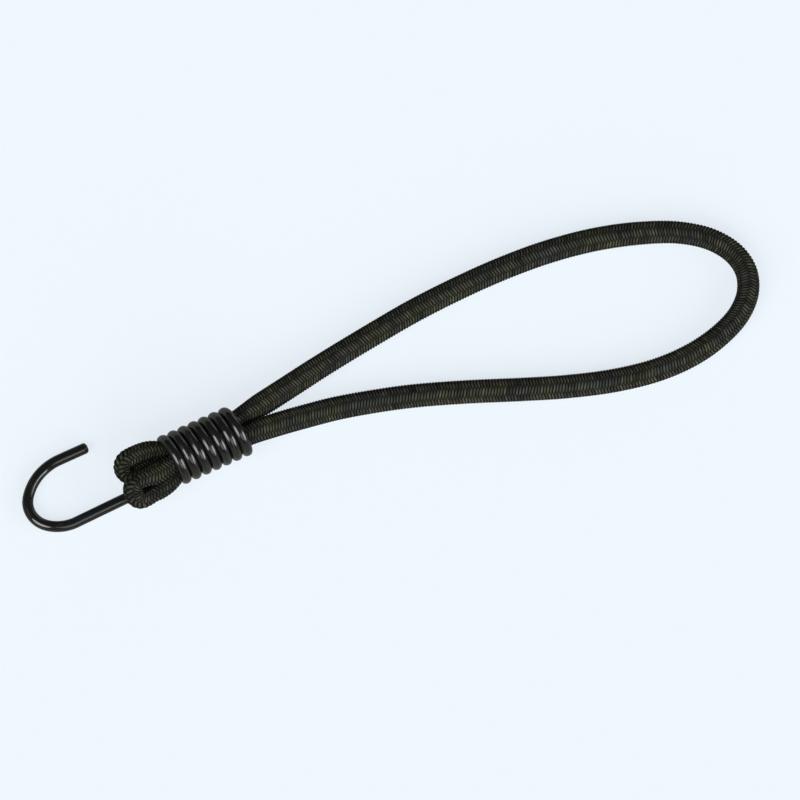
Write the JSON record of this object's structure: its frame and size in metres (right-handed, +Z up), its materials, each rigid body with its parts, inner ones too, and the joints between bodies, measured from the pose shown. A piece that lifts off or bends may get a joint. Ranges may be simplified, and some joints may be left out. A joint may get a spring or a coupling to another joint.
{
  "type": "bungee cord loop with hook",
  "caption": "Elastic bungee loop: one braided cord folded into a loop, its ends gripped in a wire winding that carries on as an open hook.",
  "frame": {"origin": "on the table, under the middle of the box that holds the hook, the winding and the folded cord ends; the free loop is not counted", "axes": "+X along the winding's axis from the hook towards the loop, +Y the side that the hook opens to, +Z up from the table"},
  "size_m": [0.2635, 0.0659, 0.0175],
  "materials": {
    "wire": "black gloss coat on steel wire",
    "cord_cover": "matt olive-black braid",
    "cord_core": "natural rubber threads in a bundle"
  },
  "bodies": {
    "hook": {"hook_wire": "wire", "back_end_cover": "cord_cover", "back_end_core": "cord_core", "back_neck_cover": "cord_cover", "back_neck_core": "cord_core", "front_end_cover": "cord_cover", "front_end_core": "cord_core", "front_neck_cover": "cord_cover", "front_neck_core": "cord_core"},
    "loop_legs": {"back_leg_cover": "cord_cover", "back_leg_core": "cord_core", "front_leg_cover": "cord_cover", "front_leg_core": "cord_core"},
    "loop_bight": {"bight_cover": "cord_cover", "bight_core": "cord_core"}
  },
  "joints": [
    {"name": "loop_flex", "type": "hinge", "parent": "hook", "child": "loop_legs", "pos_m": [0.0642, -0.0031, 0.005], "axis": [0, -1, 0], "range_deg": [-90, 90], "stiffness_Nm_per_rad": 0.05, "deforming": ["back_neck_cover", "back_neck_core", "front_neck_cover", "front_neck_core"]},
    {"name": "loop_stretch", "type": "slide", "parent": "loop_legs", "child": "loop_bight", "axis": [0.9917, -0.1288, 0], "range_m": [0, 0.1], "stiffness_N_per_m": 1800, "deforming": ["back_leg_cover", "back_leg_core", "front_leg_cover", "front_leg_core"]}
  ]
}
